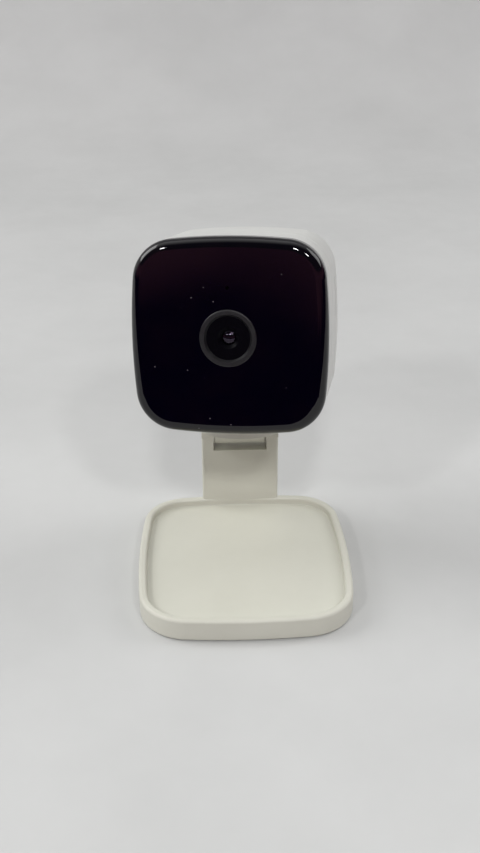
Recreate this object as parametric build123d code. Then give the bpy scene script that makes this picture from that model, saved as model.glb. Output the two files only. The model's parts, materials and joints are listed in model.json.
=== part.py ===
from build123d import *
import os
from math import sqrt

# Desktop security camera: a square camera head on a swivel bracket, hinged to the arm of a tray base.
# Millimetres. +X is the camera's left-to-right, +Y points to the back, +Z is up.
# The origin is the centre of the tray's resting face, on the surface that it stands on.

# ---- driving dimensions: fits ----
OVERCUT = 1.0           # how far a cutter runs past the face that it breaks through
SLIP_FIT = 0.05         # clearance of a shaft in its hole and of a lip in its rebate
FIT_GAP = 0.1           # clearance round a piece that drops into a pocket
CROSS_WIDTH = 0.3       # driver recess of the small screws
CROSS_DEPTH = 0.4
PAN_HEAD_HEIGHT = 0.8

# ---- driving dimensions: tray base ----
TRAY_HALF_X = 33.4
TRAY_HALF_Y = 35.0
TRAY_HEIGHT = 7.4
TRAY_BOW = 2.3          # how far each side bows outward
TRAY_CORNER_FRONT = 15.3
TRAY_CORNER_BACK = 13.8
TRAY_WALL = 2.5
TRAY_FLOOR_TOP = 4.9    # height of the dish floor above the resting face
TRAY_FLOOR_SKIN = 1.7
TRAY_RIM_ROUNDING = 1.0
TRAY_FOOT_ROUNDING = 0.5
DISH_RIM_ROUNDING = 0.8
DISH_FLOOR_ROUNDING = 0.3
TRAY_LIFT = 0.4         # the moulding stands this far off the surface; the pad touches it
COVER_THICKNESS = 1.0
PAD_THICKNESS = 0.9
PAD_INSET = 4.5
PAD_POCKET = 0.5
PAD_CHAMFER = 0.2
BALLAST_INSET = 3.5

# ---- driving dimensions: arm and tilt hinge ----
ARM_HALF_WIDTH = 12.9
ARM_THICKNESS = 8.0
ARM_FRONT = TRAY_HALF_Y - TRAY_WALL
HINGE_Y = ARM_FRONT + ARM_THICKNESS / 2
HINGE_Z = 31.2
SLOT_HALF_WIDTH = 8.95
SLOT_FLOOR = 26.5
ARM_EDGE_ROUNDING = 0.8
PIN_RADIUS = 1.5
PIN_CHAMFER = 0.2
HINGE_WASHER_RADIUS = 3.0
HINGE_CAP_RADIUS = 2.6
HINGE_CAP_THICKNESS = 1.2
HINGE_CAP_CHAMFER = 0.25
ARM_SCREW_X = 7.0
ARM_SCREW_RADIUS = 1.25
ARM_SCREW_HEAD_RADIUS = 2.4
ARM_SCREW_TOP = 18.0
ARM_SCREW_SEAT = TRAY_LIFT + 2.2    # height of the face that the screw heads bear on
ARM_SCREW_HEAD_HEIGHT = 1.6
HEX_RADIUS = 1.1
HEX_DEPTH = 0.9

# ---- driving dimensions: swivel bracket (its own frame: origin on the hinge axis) ----
TONGUE_HALF_WIDTH = 8.65
TONGUE_RADIUS = 3.5
TONGUE_BORE = PIN_RADIUS + SLIP_FIT
WASHER_THICKNESS = 0.2
PLATE_BOTTOM = 7.0
PLATE_TOP = 10.5
PLATE_CHAMFER = 0.4
INNER_BEND = 2.5
OUTER_BEND = 3.0
EDGE_BAND = 0.1         # half-width of the band in which a bend's edge is looked for
SWIVEL_REACH = 22.0     # from the hinge axis forward to the swivel axis
SWIVEL_DISC_RADIUS = 13.0
STUB_RADIUS = 3.5
STUB_CLEARANCE = 0.08
SWIVEL_WASHER_RADIUS = 10.0
SWIVEL_WASHER_THICKNESS = 0.35
SWIVEL_SCREW_RADIUS = 1.5
SWIVEL_SCREW_BOTTOM = PLATE_BOTTOM + 1.2
SWIVEL_HOLE_BOTTOM = PLATE_BOTTOM + 0.8
SWIVEL_HEAD_RADIUS = 2.8
SWIVEL_HEAD_HEIGHT = 1.8
SWIVEL_HEAD_ROUNDING = 0.6
SWIVEL_CROSS_LENGTH = 3.0
SWIVEL_CROSS_WIDTH = 0.6
SWIVEL_CROSS_DEPTH = 1.0
RETAINER_RADIUS = 6.5
RETAINER_THICKNESS = 1.0
RETAINER_GAP = 0.4      # between the head's inner floor and the retainer
HEAD_FLOOR = 11.0       # underside of the head above the hinge axis

# ---- driving dimensions: head (its own frame: origin on the swivel axis, at the underside) ----
HEAD_HALF = 29.0
HEAD_BOW = 2.0
HEAD_CORNER = 12.2
HEAD_TOP = 2 * HEAD_HALF
HEAD_WALL = 2.0
STUB_TOP = HEAD_FLOOR + HEAD_WALL + RETAINER_GAP
HEAD_FRONT = -24.5
HEAD_REAR = 22.9
CAP_DEPTH = 6.0
CAP_ROUNDING = 3.0
REAR_ROUNDING = 6.5
PART_LINE = HEAD_FRONT + 19.5
SEAM_CHAMFER = 0.3      # on both shells' outer edges where they meet
LIP = 1.0
TAPE_THICKNESS = 0.2
TAPE_OUTER_INSET = 0.5
TAPE_INNER_INSET = 1.8
CAP_BACK = HEAD_FRONT + CAP_DEPTH
HOUSING_FRONT = CAP_BACK + TAPE_THICKNESS
FLANGE_THICKNESS = 1.5
FLANGE_BACK = HOUSING_FRONT + FLANGE_THICKNESS
REAR_INNER = HEAD_REAR - HEAD_WALL
LENS_HOLE_RADIUS = 8.45
BEZEL_RADIUS = 8.4
BARREL_RADIUS = 6.45
FRONT_ELEMENT_RADIUS = 2.2
BEZEL_FRONT = HEAD_FRONT - 0.3
BEZEL_BACK = HEAD_FRONT + 3.0
BEZEL_ROUNDING = 0.4
MOUTH_DEPTH = 1.0
MOUTH_FLARE = 35        # degrees, bezel's mouth opening forward
BARREL_FRONT = HEAD_FRONT + 0.5
BARREL_BACK = BARREL_FRONT + 12.0
BARREL_FLANGE = 1.6
BARREL_BODY_RADIUS = 6.0
BOWL_DEPTH = 0.8
BOWL_FLARE = 50         # degrees, bowl round the front element
FRONT_BORE_DEPTH = 3.0
FRONT_ELEMENT_RECESS = 0.4
FRONT_ELEMENT_DEPTH = 2.0
FRONT_DOME_RADIUS = 3.4
REAR_ELEMENT_RADIUS = 4.2
REAR_ELEMENT_FRONT = BARREL_BACK - 2.0
REAR_ELEMENT_BACK = BARREL_BACK - 0.5
REAR_ELEMENT_CHAMFER = 0.4
HOLDER_SIZE = 15.0
HOLDER_COLLAR_RADIUS = 7.2
HOLDER_COLLAR_FRONT = BARREL_BACK - 5.0
HOLDER_FRONT = BARREL_BACK - 1.5
FILTER_SIZE = 9.0
FILTER_THICKNESS = 0.5
MIC_HEIGHT = 14.6       # above the middle of the face
MIC_HOLE_RADIUS = 0.5
HOUSING_WINDOW = 26.0   # square opening in the housing's front flange

# ---- driving dimensions: bosses and their screws ----
HOUSING_BOSS = 22.2     # boss offset from the middle of the face, in x and in z
HOUSING_BOSS_RADIUS = 2.4
HOUSING_BOSS_END = 13.0
HOUSING_PILOT_END = 10.0
HOUSING_SCREW_RADIUS = 1.0
HOUSING_SCREW_TIP = 9.0
HOUSING_HEAD_RADIUS = 1.9
HOUSING_HEAD_HEIGHT = 1.1
HOUSING_CROSS_LENGTH = 2.0
HOUSING_CROSS_WIDTH = 0.5
HOUSING_CROSS_DEPTH = 0.6
SENSOR_BOSS = 14.5
SENSOR_BOSS_RADIUS = 2.0
SENSOR_SCREW_RADIUS = 0.8
SENSOR_SCREW_LENGTH = 4.5
SENSOR_PILOT_DEPTH = 4.0
LED_BOSS = 17.0
LED_BOSS_RADIUS = 1.8
LED_SCREW_RADIUS = 0.7
LED_SCREW_LENGTH = 2.0
LED_PILOT_DEPTH = 1.0
MAIN_BOSS_X = 14.5
MAIN_BOSS_Z = 17.5
MAIN_BOSS_RADIUS = 2.2
MAIN_SCREW_RADIUS = 0.9
MAIN_SCREW_LENGTH = 6.0
MAIN_PILOT_END = 13.0
POST_HALF_WIDTH = 1.0
POST_ROOT = 0.5         # how far a post runs into the wall that carries it
IO_POST_X = 11.0
ANTENNA_POST_X = 8.0

# ---- driving dimensions: front electronics ----
LED_BOARD_FRONT = HOUSING_FRONT - 2.2
LED_BOARD_BACK = HOUSING_FRONT - 1.2
LED_BOARD_INSET = 5.0
LED_BOARD_HOLE_RADIUS = 9.6
LED_COUNT = 6
LED_RING_RADIUS = 16.0
LED_SIZE = 2.8
LED_HEIGHT = 0.8
LED_DOME_RADIUS = 1.1
LED_DOME_HEIGHT = 0.6
LIGHT_SENSOR_SIZE = 2.0, 1.6
LIGHT_SENSOR_HEIGHT = 0.8
MIC_SIZE = 3.8, 3.0
MIC_BODY_HEIGHT = 1.1
MIC_BOOT_RADIUS = 1.8
SENSOR_BOARD_HALF = 17.0
SENSOR_BOARD_FRONT = -9.5
SENSOR_BOARD_BACK = -8.3
IMAGE_SENSOR_SIZE = 6.4, 5.4
IMAGE_SENSOR_HEIGHT = 0.9

# ---- driving dimensions: main board group ----
MAIN_BOARD_HALF_X = 17.0
MAIN_BOARD_HEIGHT = 40.0
MAIN_BOARD_FRONT = 6.0
MAIN_BOARD_BACK = 7.4
CHIP_Z = 2.0            # height of the processor's middle above the middle of the face
PROCESSOR_SIZE = 12.0
PROCESSOR_HEIGHT = 1.6
CAN_SIZE = 20.0, 18.0
CAN_HEIGHT = 2.2
CAN_WALL = 0.3
THERMAL_PAD_SIZE = 14.0
THERMAL_PAD_THICKNESS = 0.5
SINK_WIDTH = 18.0
SINK_HEIGHT = 16.0
SINK_BASE = 1.2
SINK_DEPTH = 5.0
FIN_COUNT = 7
FIN_PITCH = 2.8
FIN_THICKNESS = 1.0
RIBBON_Z = 16.0
RIBBON_WIDTH = 8.0
RIBBON_THICKNESS = 0.3
CONNECTOR_SIZE = 10.0, 2.4
REAR_CONNECTOR_HEIGHT = 2.0
FRONT_CONNECTOR_HEIGHT = 1.6
CARD_SLOT_Y = 8.1
CARD_SLOT_Z = 37.0
CARD_SLOT_WIDTH = 1.6
CARD_SLOT_LENGTH = 12.6
CARD_SLOT_CUT = 8.0     # depth of the cutter, centred on the widest point of the side
CARD_SOCKET_X = 2.0, 17.0
CARD_SOCKET_DEPTH = 1.5
CARD_SOCKET_HALF = 6.6
CARD_SOCKET_WALL = 1.0
CARD_HALF_THICKNESS = 0.4
ANTENNA_HALF = 11.0
ANTENNA_DEPTH = 10.0, 16.0
ANTENNA_BOTTOM = 54.2
ANTENNA_TOP = 55.0

# ---- driving dimensions: rear panel group ----
IO_BOARD_BOTTOM = 9.2
IO_BOARD_TOP = 10.2
IO_BOARD_HALF = 12.0
IO_BOARD_FRONT = 9.0
IO_BOARD_MARGIN = 1.6   # from the board's back edge to the rear wall
HEADER_HALF = 5.0
HEADER_BACK = 11.0
HEADER_HEIGHT = 2.4
USB_HEIGHT = 11.6
USB_Z = USB_HEIGHT - HEAD_HALF
USB_MOUTH = 8.4, 3.6
USB_MOUTH_ROUNDING = 1.0
USB_HALF = 3.75
USB_FRONT = 15.6
USB_BACK = REAR_INNER + 1.2
USB_SHELL_HEIGHT = 2.7
USB_SHELL_WALL = 0.35
USB_SHELL_ROUNDING = 0.5
USB_CAVITY_FRONT = 17.0
USB_TONGUE_HALF = 2.8
USB_TONGUE_BACK = REAR_INNER + 0.6
USB_TONGUE_RISE = 1.4, 1.9      # underside and top above the board
RESET_X = 9.0
RESET_RADIUS = 2.0
RESET_CLEARANCE = 0.1
RESET_PROUD = 0.4
RESET_ROUNDING = 0.4
RESET_FLANGE_RADIUS = 2.8
RESET_FLANGE_FRONT = REAR_INNER - 1.1
RESET_FLANGE_BACK = REAR_INNER - 0.3
RESET_STEM_RADIUS = 1.0
RESET_STEM_FRONT = 17.4
RESET_BOARD_GAP = 0.3
SWITCH_HALF = 3.0
SWITCH_FRONT = 12.0
SWITCH_BACK = 15.6
SWITCH_HEIGHT = 3.4
PLUNGER_RADIUS = 0.9
PLUNGER_BACK = 16.4
STATUS_X = -9.0
STATUS_HALF = 0.8
STATUS_FRONT = 16.2
STATUS_BACK = 18.0
STATUS_HEIGHT = 2.0
PIPE_RADIUS = 1.0
SPEAKER_RADIUS = 10.0
SPEAKER_HEIGHT = 34.0
SPEAKER_Z = SPEAKER_HEIGHT - HEAD_HALF
SPEAKER_BACK = REAR_INNER - 0.6
SPEAKER_FRONT = SPEAKER_BACK - 3.8
SPEAKER_WALL = 1.2
SPEAKER_FLOOR = 1.5
CONE_THICKNESS = 0.7
CONE_DOME_RADIUS = 3.6
MAGNET_RADIUS = 7.0
MAGNET_DEPTH = 3.4
GASKET_WIDTH = 1.5
GRILLE_RINGS = 3
GRILLE_PITCH = 2.4
GRILLE_HOLE_RADIUS = 0.6

# ---- rest pose ----
TILT_UP = 14.0          # degrees, face raised
SWIVEL = -10.5          # degrees, face turned to -X

os.makedirs("parts", exist_ok=True)

NECK_FRAME = Pos(0, HINGE_Y, HINGE_Z) * Rot(X=-TILT_UP)
HEAD_FRAME = NECK_FRAME * Pos(0, -SWIVEL_REACH, HEAD_FLOOR) * Rot(Z=SWIVEL)


# ---- shape helpers ----
def bowed_square(half_x, half_y, bow, corner_front, corner_back, inset=0.0):
    """Rounded rectangle whose four sides are shallow arcs, shrunk by an even inset."""
    x, y = half_x - bow, half_y - bow
    radius_x = (y ** 2 + bow ** 2) / (2 * bow)
    radius_y = (x ** 2 + bow ** 2) / (2 * bow)
    for _ in range(8):
        # where the two shrunken side arcs cross, found by repeated substitution
        x = half_x - radius_x + sqrt((radius_x - inset) ** 2 - y ** 2)
        y = half_y - radius_y + sqrt((radius_y - inset) ** 2 - x ** 2)
    corners = [(x, -y), (x, y), (-x, y), (-x, -y)]
    reach_x, reach_y = half_x - inset, half_y - inset
    middles = [(reach_x, 0), (0, reach_y), (-reach_x, 0), (0, -reach_y)]
    sides = [ThreePointArc(corners[i], middles[i], corners[(i + 1) % 4]) for i in range(4)]
    face = make_face(sides)
    face = fillet(face.vertices().group_by(Axis.Y)[0], corner_front - inset)
    return fillet(face.vertices().group_by(Axis.Y)[-1], corner_back - inset)


def tray_slab(inset, bottom, top):
    """Slab with the tray's outline."""
    corners = TRAY_CORNER_FRONT, TRAY_CORNER_BACK
    outline = bowed_square(TRAY_HALF_X, TRAY_HALF_Y, TRAY_BOW, *corners, inset)
    return Pos(0, 0, bottom) * extrude(outline, amount=top - bottom)


def face_plane(y):
    """Plane across the head at depth y, drawn with x to the right and z up from the head's middle."""
    return Plane(origin=(0, y, HEAD_HALF), x_dir=(1, 0, 0), z_dir=(0, -1, 0))


def head_slab(inset, front, back):
    """Slab with the head's outline, from depth front to depth back."""
    outline = bowed_square(HEAD_HALF, HEAD_HALF, HEAD_BOW, HEAD_CORNER, HEAD_CORNER, inset)
    return extrude(face_plane(back) * outline, amount=back - front)


def depth_cylinder(radius, front, back, x=0.0, z=0.0):
    """Cylinder along Y; x and z are measured from the middle of the face."""
    return extrude(face_plane(back) * Pos(x, z) * Circle(radius), amount=back - front)


def depth_box(width, height, front, back, x=0.0, z=0.0):
    """Box between two depths; x and z are measured from the middle of the face."""
    return extrude(face_plane(back) * Pos(x, z) * Rectangle(width, height), amount=back - front)


def upright_cylinder(radius, bottom, top, x=0.0, y=0.0):
    return Pos(x, y, (bottom + top) / 2) * Cylinder(radius, top - bottom)


def cross_cylinder(radius, x0, x1, y=0.0, z=0.0):
    """Cylinder along X."""
    return Pos((x0 + x1) / 2, y, z) * Rot(Y=90) * Cylinder(radius, x1 - x0)


def block(x0, x1, y0, y1, z0, z1):
    centre = Pos((x0 + x1) / 2, (y0 + y1) / 2, (z0 + z1) / 2)
    return centre * Box(x1 - x0, y1 - y0, z1 - z0)


def side_span(side, near, far):
    """The two x positions at these distances from the middle on one side, in rising order."""
    return sorted((side * near, side * far))


def four_corners(offset_x, offset_z):
    """The four sign combinations of an offset from the middle of the face."""
    return [(sx * offset_x, sz * offset_z) for sx in (-1, 1) for sz in (-1, 1)]


def group(solids):
    """Separate solids kept together in one node."""
    return Compound(children=[s.solid() for s in solids])


def save(name, shape, frame=Location()):
    export_step(frame * shape, f"parts/{name}.step")


# ---- tray base ----
def rear_lug(bottom, top):
    return block(-ARM_HALF_WIDTH, ARM_HALF_WIDTH, ARM_FRONT, ARM_FRONT + ARM_THICKNESS, bottom, top)


def base_tray():
    body = tray_slab(0, TRAY_LIFT, TRAY_HEIGHT)
    body = fillet(body.edges().group_by(Axis.Z)[-1], TRAY_RIM_ROUNDING)
    body = fillet(body.edges().group_by(Axis.Z)[0], TRAY_FOOT_ROUNDING)
    dish = tray_slab(TRAY_WALL, TRAY_FLOOR_TOP, TRAY_HEIGHT)
    body -= fillet(dish.edges().group_by(Axis.Z)[0], DISH_FLOOR_ROUNDING)
    rim = body.faces().sort_by(Axis.Z)[-1]
    body = fillet(rim.inner_wires()[0].edges(), DISH_RIM_ROUNDING)
    lug = fillet(rear_lug(TRAY_LIFT, TRAY_HEIGHT).edges().filter_by(Axis.Z), ARM_EDGE_ROUNDING)
    body += fillet(lug.edges().group_by(Axis.Z)[0], TRAY_FOOT_ROUNDING)
    cavity = tray_slab(TRAY_WALL, 0, TRAY_FLOOR_TOP - TRAY_FLOOR_SKIN)
    body = body - (cavity - rear_lug(0, TRAY_HEIGHT))
    hole_radius = ARM_SCREW_RADIUS + SLIP_FIT
    pocket_radius = ARM_SCREW_HEAD_RADIUS + FIT_GAP
    for x in (-ARM_SCREW_X, ARM_SCREW_X):
        body -= upright_cylinder(hole_radius, 0, TRAY_HEIGHT + OVERCUT, x, HINGE_Y)
        body -= upright_cylinder(pocket_radius, 0, ARM_SCREW_SEAT, x, HINGE_Y)
    return body


def base_cover():
    bottom = TRAY_LIFT
    plate = tray_slab(TRAY_WALL + FIT_GAP, bottom, bottom + COVER_THICKNESS)
    plate -= tray_slab(PAD_INSET, bottom - OVERCUT, bottom + PAD_POCKET)
    return plate - rear_lug(0, TRAY_HEIGHT)


def foot_pad():
    pad = tray_slab(PAD_INSET + FIT_GAP, 0, PAD_THICKNESS)
    return chamfer(pad.edges().group_by(Axis.Z)[0], PAD_CHAMFER)


def ballast_plate():
    bottom = TRAY_LIFT + COVER_THICKNESS
    return tray_slab(BALLAST_INSET, bottom, TRAY_FLOOR_TOP - TRAY_FLOOR_SKIN)


# ---- arm and tilt hinge ----
def arm():
    post = rear_lug(TRAY_HEIGHT, HINGE_Z)
    top = cross_cylinder(ARM_THICKNESS / 2, -ARM_HALF_WIDTH, ARM_HALF_WIDTH, HINGE_Y, HINGE_Z)
    body = fillet(post.edges().filter_by(Axis.Z), ARM_EDGE_ROUNDING) + (top - rear_lug(0, HINGE_Z))
    body -= block(-SLOT_HALF_WIDTH, SLOT_HALF_WIDTH, 0, 2 * HINGE_Y, SLOT_FLOOR, HINGE_Z + ARM_THICKNESS)
    body -= cross_cylinder(PIN_RADIUS, -ARM_HALF_WIDTH, ARM_HALF_WIDTH, HINGE_Y, HINGE_Z)
    for side in (-1, 1):
        recess = side_span(side, ARM_HALF_WIDTH - HINGE_CAP_THICKNESS, ARM_HALF_WIDTH + OVERCUT)
        body -= cross_cylinder(HINGE_CAP_RADIUS, *recess, HINGE_Y, HINGE_Z)
        body -= upright_cylinder(ARM_SCREW_RADIUS, 0, ARM_SCREW_TOP, side * ARM_SCREW_X, HINGE_Y)
    return body


def arm_screws():
    screws = []
    head_bottom = ARM_SCREW_SEAT - ARM_SCREW_HEAD_HEIGHT
    for x in (-ARM_SCREW_X, ARM_SCREW_X):
        screw = upright_cylinder(ARM_SCREW_HEAD_RADIUS, head_bottom, ARM_SCREW_SEAT, x, HINGE_Y)
        screw += upright_cylinder(ARM_SCREW_RADIUS, ARM_SCREW_SEAT, ARM_SCREW_TOP, x, HINGE_Y)
        recess = extrude(RegularPolygon(HEX_RADIUS, 6), amount=HEX_DEPTH)
        screws.append(screw - Pos(x, HINGE_Y, head_bottom) * recess)
    return group(screws)


def hinge_pin():
    reach = ARM_HALF_WIDTH - HINGE_CAP_THICKNESS
    pin = cross_cylinder(PIN_RADIUS, -reach, reach, HINGE_Y, HINGE_Z)
    return chamfer(pin.edges().filter_by(GeomType.CIRCLE), PIN_CHAMFER)


def hinge_washers():
    washers = []
    for side in (-1, 1):
        width = side_span(side, SLOT_HALF_WIDTH - WASHER_THICKNESS, SLOT_HALF_WIDTH)
        ring = cross_cylinder(HINGE_WASHER_RADIUS, *width, HINGE_Y, HINGE_Z)
        ring -= cross_cylinder(PIN_RADIUS, -ARM_HALF_WIDTH, ARM_HALF_WIDTH, HINGE_Y, HINGE_Z)
        washers.append(ring)
    return group(washers)


def hinge_caps():
    caps = []
    for side in (-1, 1):
        width = side_span(side, ARM_HALF_WIDTH - HINGE_CAP_THICKNESS, ARM_HALF_WIDTH)
        disc = cross_cylinder(HINGE_CAP_RADIUS, *width, HINGE_Y, HINGE_Z)
        outer_edge = disc.edges().filter_by(GeomType.CIRCLE).sort_by(Axis.X)[-1 if side > 0 else 0]
        caps.append(chamfer(outer_edge, HINGE_CAP_CHAMFER))
    return group(caps)


# ---- swivel bracket ----
def bend_edges(body, y):
    """Edges along X near depth y."""
    return body.edges().filter_by(Axis.X).filter_by_position(Axis.Y, y - EDGE_BAND, y + EDGE_BAND)


def swivel_bracket():
    tongue = cross_cylinder(TONGUE_RADIUS, -TONGUE_HALF_WIDTH, TONGUE_HALF_WIDTH)
    tongue += block(-TONGUE_HALF_WIDTH, TONGUE_HALF_WIDTH, -TONGUE_RADIUS, TONGUE_RADIUS, 0, PLATE_TOP)
    plate = block(-TONGUE_HALF_WIDTH, TONGUE_HALF_WIDTH, -SWIVEL_REACH, 0, PLATE_BOTTOM, PLATE_TOP)
    disc = upright_cylinder(SWIVEL_DISC_RADIUS, PLATE_BOTTOM, PLATE_TOP, 0, -SWIVEL_REACH)
    body = tongue + plate + disc
    body = fillet(bend_edges(body, -TONGUE_RADIUS), INNER_BEND)
    body = fillet(bend_edges(body, TONGUE_RADIUS).group_by(Axis.Z)[-1], OUTER_BEND)
    body = chamfer(body.edges().group_by(Axis.Z)[-1], PLATE_CHAMFER)
    body += upright_cylinder(STUB_RADIUS, PLATE_TOP, STUB_TOP, 0, -SWIVEL_REACH)
    body -= upright_cylinder(SWIVEL_SCREW_RADIUS, SWIVEL_HOLE_BOTTOM, STUB_TOP, 0, -SWIVEL_REACH)
    return body - cross_cylinder(TONGUE_BORE, -TONGUE_HALF_WIDTH, TONGUE_HALF_WIDTH)


def swivel_washer():
    top = PLATE_TOP + SWIVEL_WASHER_THICKNESS
    ring = upright_cylinder(SWIVEL_WASHER_RADIUS, PLATE_TOP, top, 0, -SWIVEL_REACH)
    return ring - upright_cylinder(STUB_RADIUS, PLATE_TOP, top + OVERCUT, 0, -SWIVEL_REACH)


def swivel_retainer():
    top = STUB_TOP + RETAINER_THICKNESS
    ring = upright_cylinder(RETAINER_RADIUS, STUB_TOP, top, 0, -SWIVEL_REACH)
    return ring - upright_cylinder(SWIVEL_SCREW_RADIUS, STUB_TOP, top, 0, -SWIVEL_REACH)


def swivel_screw():
    seat = STUB_TOP + RETAINER_THICKNESS
    top = seat + SWIVEL_HEAD_HEIGHT
    head = upright_cylinder(SWIVEL_HEAD_RADIUS, seat, top, 0, -SWIVEL_REACH)
    head = fillet(head.edges().group_by(Axis.Z)[-1], SWIVEL_HEAD_ROUNDING)
    recess = Box(SWIVEL_CROSS_LENGTH, SWIVEL_CROSS_WIDTH, 2 * SWIVEL_CROSS_DEPTH)
    recess += Box(SWIVEL_CROSS_WIDTH, SWIVEL_CROSS_LENGTH, 2 * SWIVEL_CROSS_DEPTH)
    shaft = upright_cylinder(SWIVEL_SCREW_RADIUS, SWIVEL_SCREW_BOTTOM, seat, 0, -SWIVEL_REACH)
    return head - Pos(0, -SWIVEL_REACH, top) * recess + shaft


# ---- head shells ----
def front_cap():
    body = head_slab(0, HEAD_FRONT, CAP_BACK)
    body = fillet(body.edges().group_by(Axis.Y)[0], CAP_ROUNDING)
    hollow = head_slab(HEAD_WALL, HEAD_FRONT + HEAD_WALL, CAP_BACK)
    body -= fillet(hollow.edges().group_by(Axis.Y)[0], CAP_ROUNDING - HEAD_WALL)
    body -= depth_cylinder(LENS_HOLE_RADIUS, HEAD_FRONT - OVERCUT, CAP_BACK)
    return body - depth_cylinder(MIC_HOLE_RADIUS, HEAD_FRONT - OVERCUT, CAP_BACK, 0, MIC_HEIGHT)


def cap_tape():
    outer = head_slab(TAPE_OUTER_INSET, CAP_BACK, HOUSING_FRONT)
    return outer - head_slab(TAPE_INNER_INSET, CAP_BACK, HOUSING_FRONT)


def front_housing():
    lip_back = PART_LINE + LIP
    body = head_slab(0, HOUSING_FRONT, PART_LINE)
    body = chamfer(body.edges().group_by(Axis.Y)[-1], SEAM_CHAMFER)
    body -= head_slab(HEAD_WALL, FLANGE_BACK, PART_LINE)
    body -= depth_box(HOUSING_WINDOW, HOUSING_WINDOW, HOUSING_FRONT, FLANGE_BACK)
    body += head_slab(LIP, PART_LINE, lip_back) - head_slab(HEAD_WALL, PART_LINE, lip_back)
    hole_radius = HOUSING_SCREW_RADIUS + FIT_GAP
    pocket_radius = HOUSING_HEAD_RADIUS + FIT_GAP
    for x, z in four_corners(HOUSING_BOSS, HOUSING_BOSS):
        body += depth_cylinder(HOUSING_BOSS_RADIUS, FLANGE_BACK, lip_back, x, z)
        body -= depth_cylinder(hole_radius, HOUSING_FRONT, lip_back, x, z)
        body -= depth_cylinder(pocket_radius, HOUSING_FRONT, HOUSING_FRONT + HOUSING_HEAD_HEIGHT, x, z)
    pilot_front = SENSOR_BOARD_FRONT - SENSOR_PILOT_DEPTH
    for x, z in four_corners(SENSOR_BOSS, SENSOR_BOSS):
        body += depth_cylinder(SENSOR_BOSS_RADIUS, FLANGE_BACK, SENSOR_BOARD_FRONT, x, z)
        body -= depth_cylinder(SENSOR_SCREW_RADIUS, pilot_front, SENSOR_BOARD_FRONT, x, z)
    for x, z in four_corners(LED_BOSS, LED_BOSS):
        body += depth_cylinder(LED_BOSS_RADIUS, LED_BOARD_BACK, HOUSING_FRONT, x, z)
        body -= depth_cylinder(LED_SCREW_RADIUS, LED_BOARD_BACK, HOUSING_FRONT + LED_PILOT_DEPTH, x, z)
    return body


def through_rear_wall(radius, x, z):
    """Cutter for a round hole through the rear wall."""
    return depth_cylinder(radius, REAR_INNER - OVERCUT, HEAD_REAR + OVERCUT, x, z)


def grille_holes():
    """Rings of small round holes over the speaker."""
    holes = [(0, 0)]
    for ring in range(1, GRILLE_RINGS + 1):
        places = PolarLocations(ring * GRILLE_PITCH, 6 * ring)
        holes += [(place.position.X, place.position.Y) for place in places]
    return [through_rear_wall(GRILLE_HOLE_RADIUS, x, SPEAKER_Z + dz) for x, dz in holes]


def rear_cover():
    body = head_slab(0, PART_LINE, HEAD_REAR)
    body = fillet(body.edges().group_by(Axis.Y)[-1], REAR_ROUNDING)
    body = chamfer(body.edges().group_by(Axis.Y)[0], SEAM_CHAMFER)
    hollow = head_slab(HEAD_WALL, PART_LINE, REAR_INNER)
    body -= fillet(hollow.edges().group_by(Axis.Y)[-1], REAR_ROUNDING - HEAD_WALL)
    rebate_back = PART_LINE + LIP + FIT_GAP
    body -= head_slab(LIP - SLIP_FIT, PART_LINE, rebate_back)
    for x, z in four_corners(HOUSING_BOSS, HOUSING_BOSS):
        body += depth_cylinder(HOUSING_BOSS_RADIUS, rebate_back, HOUSING_BOSS_END, x, z)
        body -= depth_cylinder(HOUSING_SCREW_RADIUS, PART_LINE, HOUSING_PILOT_END, x, z)
    for x, z in four_corners(MAIN_BOSS_X, MAIN_BOSS_Z):
        body += depth_cylinder(MAIN_BOSS_RADIUS, MAIN_BOARD_BACK, REAR_INNER, x, z)
        body -= depth_cylinder(MAIN_SCREW_RADIUS, MAIN_BOARD_BACK, MAIN_PILOT_END, x, z)
    for side in (-1, 1):
        x0, x1 = side * IO_POST_X - POST_HALF_WIDTH, side * IO_POST_X + POST_HALF_WIDTH
        body += block(x0, x1, IO_BOARD_FRONT, REAR_INNER, HEAD_WALL - POST_ROOT, IO_BOARD_BOTTOM)
        x0, x1 = side * ANTENNA_POST_X - POST_HALF_WIDTH, side * ANTENNA_POST_X + POST_HALF_WIDTH
        body += block(x0, x1, *ANTENNA_DEPTH, ANTENNA_TOP, HEAD_TOP - HEAD_WALL + POST_ROOT)
    body -= upright_cylinder(STUB_RADIUS + STUB_CLEARANCE, -OVERCUT, HEAD_WALL + OVERCUT)
    for hole in grille_holes():
        body -= hole
    usb_mouth = face_plane(HEAD_REAR) * Pos(0, USB_Z) * RectangleRounded(*USB_MOUTH, USB_MOUTH_ROUNDING)
    body -= extrude(usb_mouth, amount=HEAD_WALL, both=True)
    body -= through_rear_wall(RESET_RADIUS + RESET_CLEARANCE, RESET_X, USB_Z)
    body -= through_rear_wall(PIPE_RADIUS, STATUS_X, USB_Z)
    card_slot = Box(CARD_SLOT_CUT, CARD_SLOT_WIDTH, CARD_SLOT_LENGTH)
    return body - Pos(HEAD_HALF, CARD_SLOT_Y, CARD_SLOT_Z) * card_slot


# ---- lens and sensor ----
def lens_bezel():
    ring = depth_cylinder(BEZEL_RADIUS, BEZEL_FRONT, BEZEL_BACK)
    ring = fillet(ring.edges().group_by(Axis.Y)[0], BEZEL_ROUNDING)
    ring -= depth_cylinder(BARREL_RADIUS, HEAD_FRONT - OVERCUT, BEZEL_BACK)
    mouth = face_plane(BARREL_FRONT) * Circle(BARREL_RADIUS)
    return ring - extrude(mouth, amount=MOUTH_DEPTH, taper=-MOUTH_FLARE)


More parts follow.
